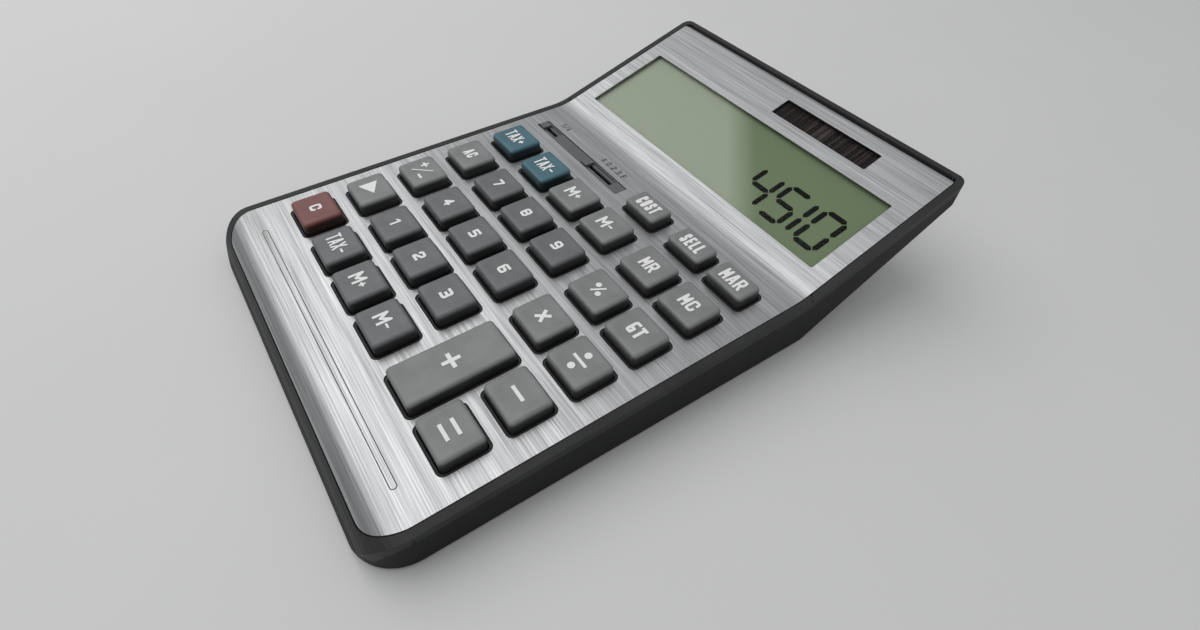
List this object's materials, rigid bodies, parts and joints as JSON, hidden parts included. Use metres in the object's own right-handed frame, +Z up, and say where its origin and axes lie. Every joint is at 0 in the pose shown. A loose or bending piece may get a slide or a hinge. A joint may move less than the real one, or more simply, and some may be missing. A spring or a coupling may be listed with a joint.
{
  "type": "desktop calculator",
  "caption": "Desktop calculator with a brushed metal face bent up to a tilted display and solar strip, moulded keys that press, slide switches and a dark case.",
  "frame": {"origin": "centre of the footprint on the surface the feet stand on", "axes": "+Z up, +Y from the front edge towards the display, +X to the user's right"},
  "size_m": [0.1248, 0.1834, 0.0361],
  "materials": {
    "brushed_plate": "brushed",
    "case_plastic": "fine grain",
    "grey_key": "satin",
    "dark_key": "satin",
    "maroon_key": "satin",
    "teal_key": "satin",
    "clear_lens": "polished",
    "lcd": "smooth",
    "white_plastic": "moulded",
    "flex_film": "smooth",
    "solar": "polished",
    "lead_sheath": "smooth",
    "grey_rubber": "matt",
    "board_laminate": "lacquered",
    "chip_resin": "smooth",
    "capacitor_sleeve": "smooth",
    "switch_plastic": "moulded",
    "sprung_brass": "plain",
    "cell_steel": "satin",
    "contact_steel": "plain",
    "screw_steel": "plain",
    "foot_rubber": "matt"
  },
  "bodies": {
    "case": {"face_plate": "brushed_plate", "upper_case": "case_plastic", "lower_case": "case_plastic", "lcd_window": "clear_lens", "lcd_glass": "lcd", "lcd_frame": "white_plastic", "lcd_ribbon": "flex_film", "solar_window": "clear_lens", "solar_cell": "solar", "solar_leads": "lead_sheath", "key_mat": "grey_rubber", "circuit_board": "board_laminate", "chip_cover": "chip_resin", "board_capacitor": "capacitor_sleeve", "chip_resistors": "chip_resin", "slider_bezel": "switch_plastic", "coin_cell": "cell_steel", "battery_contact_top": "contact_steel", "battery_contact_side": "contact_steel", "case_screws": "screw_steel", "board_screws": "screw_steel", "rubber_feet": "foot_rubber"},
    "rounding_slider": {"rounding_slider": "switch_plastic", "rounding_contact": "sprung_brass"},
    "decimal_slider": {"decimal_slider": "switch_plastic", "decimal_contact": "sprung_brass"},
    "battery_door": {"battery_door": "case_plastic"},
    "key_clear": {"key_clear": "maroon_key"},
    "key_front_tax_less": {"key_front_tax_less": "dark_key"},
    "key_front_memory_add": {"key_front_memory_add": "dark_key"},
    "key_front_memory_subtract": {"key_front_memory_subtract": "dark_key"},
    "key_add": {"key_add": "grey_key"},
    "key_equals": {"key_equals": "grey_key"},
    "key_shift_right": {"key_shift_right": "grey_key"},
    "key_one": {"key_one": "dark_key"},
    "key_two": {"key_two": "dark_key"},
    "key_three": {"key_three": "dark_key"},
    "key_subtract": {"key_subtract": "grey_key"},
    "key_sign_change": {"key_sign_change": "grey_key"},
    "key_four": {"key_four": "dark_key"},
    "key_five": {"key_five": "dark_key"},
    "key_six": {"key_six": "dark_key"},
    "key_multiply": {"key_multiply": "grey_key"},
    "key_divide": {"key_divide": "grey_key"},
    "key_all_clear": {"key_all_clear": "grey_key"},
    "key_seven": {"key_seven": "dark_key"},
    "key_eight": {"key_eight": "dark_key"},
    "key_nine": {"key_nine": "dark_key"},
    "key_percent": {"key_percent": "grey_key"},
    "key_grand_total": {"key_grand_total": "grey_key"},
    "key_tax_add": {"key_tax_add": "teal_key"},
    "key_tax_less": {"key_tax_less": "teal_key"},
    "key_memory_add": {"key_memory_add": "grey_key"},
    "key_memory_subtract": {"key_memory_subtract": "grey_key"},
    "key_memory_recall": {"key_memory_recall": "grey_key"},
    "key_memory_clear": {"key_memory_clear": "grey_key"},
    "key_cost": {"key_cost": "grey_key"},
    "key_sell": {"key_sell": "grey_key"},
    "key_margin": {"key_margin": "grey_key"}
  },
  "joints": [
    {"name": "clear_press", "type": "slide", "parent": "case", "child": "key_clear", "axis": [0, 0.0401, -0.9992], "range_m": [0, 0.0015], "stiffness_N_per_m": 300, "deforming": ["key_mat"]},
    {"name": "front_tax_less_press", "type": "slide", "parent": "case", "child": "key_front_tax_less", "axis": [0, 0.0401, -0.9992], "range_m": [0, 0.0015], "stiffness_N_per_m": 300, "deforming": ["key_mat"]},
    {"name": "front_memory_add_press", "type": "slide", "parent": "case", "child": "key_front_memory_add", "axis": [0, 0.0401, -0.9992], "range_m": [0, 0.0015], "stiffness_N_per_m": 300, "deforming": ["key_mat"]},
    {"name": "front_memory_subtract_press", "type": "slide", "parent": "case", "child": "key_front_memory_subtract", "axis": [0, 0.0401, -0.9992], "range_m": [0, 0.0015], "stiffness_N_per_m": 300, "deforming": ["key_mat"]},
    {"name": "add_press", "type": "slide", "parent": "case", "child": "key_add", "axis": [0, 0.0401, -0.9992], "range_m": [0, 0.0015], "stiffness_N_per_m": 300, "deforming": ["key_mat"]},
    {"name": "equals_press", "type": "slide", "parent": "case", "child": "key_equals", "axis": [0, 0.0401, -0.9992], "range_m": [0, 0.0015], "stiffness_N_per_m": 300, "deforming": ["key_mat"]},
    {"name": "shift_right_press", "type": "slide", "parent": "case", "child": "key_shift_right", "axis": [0, 0.0401, -0.9992], "range_m": [0, 0.0015], "stiffness_N_per_m": 300, "deforming": ["key_mat"]},
    {"name": "one_press", "type": "slide", "parent": "case", "child": "key_one", "axis": [0, 0.0401, -0.9992], "range_m": [0, 0.0015], "stiffness_N_per_m": 300, "deforming": ["key_mat"]},
    {"name": "two_press", "type": "slide", "parent": "case", "child": "key_two", "axis": [0, 0.0401, -0.9992], "range_m": [0, 0.0015], "stiffness_N_per_m": 300, "deforming": ["key_mat"]},
    {"name": "three_press", "type": "slide", "parent": "case", "child": "key_three", "axis": [0, 0.0401, -0.9992], "range_m": [0, 0.0015], "stiffness_N_per_m": 300, "deforming": ["key_mat"]},
    {"name": "subtract_press", "type": "slide", "parent": "case", "child": "key_subtract", "axis": [0, 0.0401, -0.9992], "range_m": [0, 0.0015], "stiffness_N_per_m": 300, "deforming": ["key_mat"]},
    {"name": "sign_change_press", "type": "slide", "parent": "case", "child": "key_sign_change", "axis": [0, 0.0401, -0.9992], "range_m": [0, 0.0015], "stiffness_N_per_m": 300, "deforming": ["key_mat"]},
    {"name": "four_press", "type": "slide", "parent": "case", "child": "key_four", "axis": [0, 0.0401, -0.9992], "range_m": [0, 0.0015], "stiffness_N_per_m": 300, "deforming": ["key_mat"]},
    {"name": "five_press", "type": "slide", "parent": "case", "child": "key_five", "axis": [0, 0.0401, -0.9992], "range_m": [0, 0.0015], "stiffness_N_per_m": 300, "deforming": ["key_mat"]},
    {"name": "six_press", "type": "slide", "parent": "case", "child": "key_six", "axis": [0, 0.0401, -0.9992], "range_m": [0, 0.0015], "stiffness_N_per_m": 300, "deforming": ["key_mat"]},
    {"name": "multiply_press", "type": "slide", "parent": "case", "child": "key_multiply", "axis": [0, 0.0401, -0.9992], "range_m": [0, 0.0015], "stiffness_N_per_m": 300, "deforming": ["key_mat"]},
    {"name": "divide_press", "type": "slide", "parent": "case", "child": "key_divide", "axis": [0, 0.0401, -0.9992], "range_m": [0, 0.0015], "stiffness_N_per_m": 300, "deforming": ["key_mat"]},
    {"name": "all_clear_press", "type": "slide", "parent": "case", "child": "key_all_clear", "axis": [0, 0.0401, -0.9992], "range_m": [0, 0.0015], "stiffness_N_per_m": 300, "deforming": ["key_mat"]},
    {"name": "seven_press", "type": "slide", "parent": "case", "child": "key_seven", "axis": [0, 0.0401, -0.9992], "range_m": [0, 0.0015], "stiffness_N_per_m": 300, "deforming": ["key_mat"]},
    {"name": "eight_press", "type": "slide", "parent": "case", "child": "key_eight", "axis": [0, 0.0401, -0.9992], "range_m": [0, 0.0015], "stiffness_N_per_m": 300, "deforming": ["key_mat"]},
    {"name": "nine_press", "type": "slide", "parent": "case", "child": "key_nine", "axis": [0, 0.0401, -0.9992], "range_m": [0, 0.0015], "stiffness_N_per_m": 300, "deforming": ["key_mat"]},
    {"name": "percent_press", "type": "slide", "parent": "case", "child": "key_percent", "axis": [0, 0.0401, -0.9992], "range_m": [0, 0.0015], "stiffness_N_per_m": 300, "deforming": ["key_mat"]},
    {"name": "grand_total_press", "type": "slide", "parent": "case", "child": "key_grand_total", "axis": [0, 0.0401, -0.9992], "range_m": [0, 0.0015], "stiffness_N_per_m": 300, "deforming": ["key_mat"]},
    {"name": "tax_add_press", "type": "slide", "parent": "case", "child": "key_tax_add", "axis": [0, 0.0401, -0.9992], "range_m": [0, 0.0015], "stiffness_N_per_m": 300, "deforming": ["key_mat"]},
    {"name": "tax_less_press", "type": "slide", "parent": "case", "child": "key_tax_less", "axis": [0, 0.0401, -0.9992], "range_m": [0, 0.0015], "stiffness_N_per_m": 300, "deforming": ["key_mat"]},
    {"name": "memory_add_press", "type": "slide", "parent": "case", "child": "key_memory_add", "axis": [0, 0.0401, -0.9992], "range_m": [0, 0.0015], "stiffness_N_per_m": 300, "deforming": ["key_mat"]},
    {"name": "memory_subtract_press", "type": "slide", "parent": "case", "child": "key_memory_subtract", "axis": [0, 0.0401, -0.9992], "range_m": [0, 0.0015], "stiffness_N_per_m": 300, "deforming": ["key_mat"]},
    {"name": "memory_recall_press", "type": "slide", "parent": "case", "child": "key_memory_recall", "axis": [0, 0.0401, -0.9992], "range_m": [0, 0.0015], "stiffness_N_per_m": 300, "deforming": ["key_mat"]},
    {"name": "memory_clear_press", "type": "slide", "parent": "case", "child": "key_memory_clear", "axis": [0, 0.0401, -0.9992], "range_m": [0, 0.0015], "stiffness_N_per_m": 300, "deforming": ["key_mat"]},
    {"name": "cost_press", "type": "slide", "parent": "case", "child": "key_cost", "axis": [0, 0.0401, -0.9992], "range_m": [0, 0.0015], "stiffness_N_per_m": 300, "deforming": ["key_mat"]},
    {"name": "sell_press", "type": "slide", "parent": "case", "child": "key_sell", "axis": [0, 0.0401, -0.9992], "range_m": [0, 0.0015], "stiffness_N_per_m": 300, "deforming": ["key_mat"]},
    {"name": "margin_press", "type": "slide", "parent": "case", "child": "key_margin", "axis": [0, 0.0401, -0.9992], "range_m": [0, 0.0015], "stiffness_N_per_m": 300, "deforming": ["key_mat"]},
    {"name": "rounding_slide", "type": "slide", "parent": "case", "child": "rounding_slider", "axis": [1, 0, 0], "range_m": [0, 0.0066]},
    {"name": "decimal_slide", "type": "slide", "parent": "case", "child": "decimal_slider", "axis": [1, 0, 0], "range_m": [0, 0.0125]},
    {"name": "door_slide", "type": "slide", "parent": "case", "child": "battery_door", "axis": [0, 1, 0], "range_m": [0, 0.022]}
  ]
}
